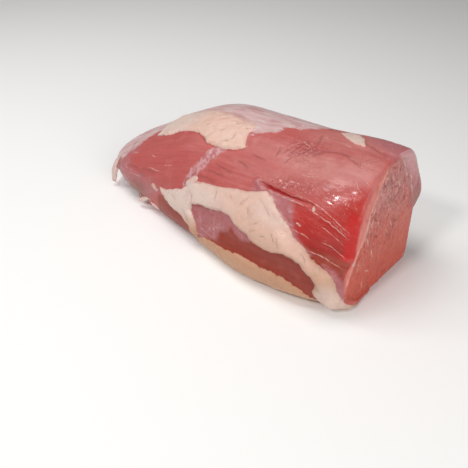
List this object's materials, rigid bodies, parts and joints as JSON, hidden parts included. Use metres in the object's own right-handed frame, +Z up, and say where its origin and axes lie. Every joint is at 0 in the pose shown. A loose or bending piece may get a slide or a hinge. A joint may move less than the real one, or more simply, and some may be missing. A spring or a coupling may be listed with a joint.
{
  "type": "raw beef roasting joint",
  "caption": "Raw beef roasting joint, cut square across the grain at its thick end and tapering to a lifted tip, with a fat cap, thick seam fat, a fat strip along its foot and silverskin.",
  "frame": {"origin": "middle of the footprint, on the surface the joint rests on", "axes": "+X along the joint towards the cut face, +Y towards the silverskin side, +Z up"},
  "size_m": [0.2636, 0.1236, 0.0982],
  "materials": {
    "raw_beef": "moist, satin to glossy"
  },
  "bodies": {
    "root": {"beef_joint": "raw_beef"}
  },
  "joints": []
}
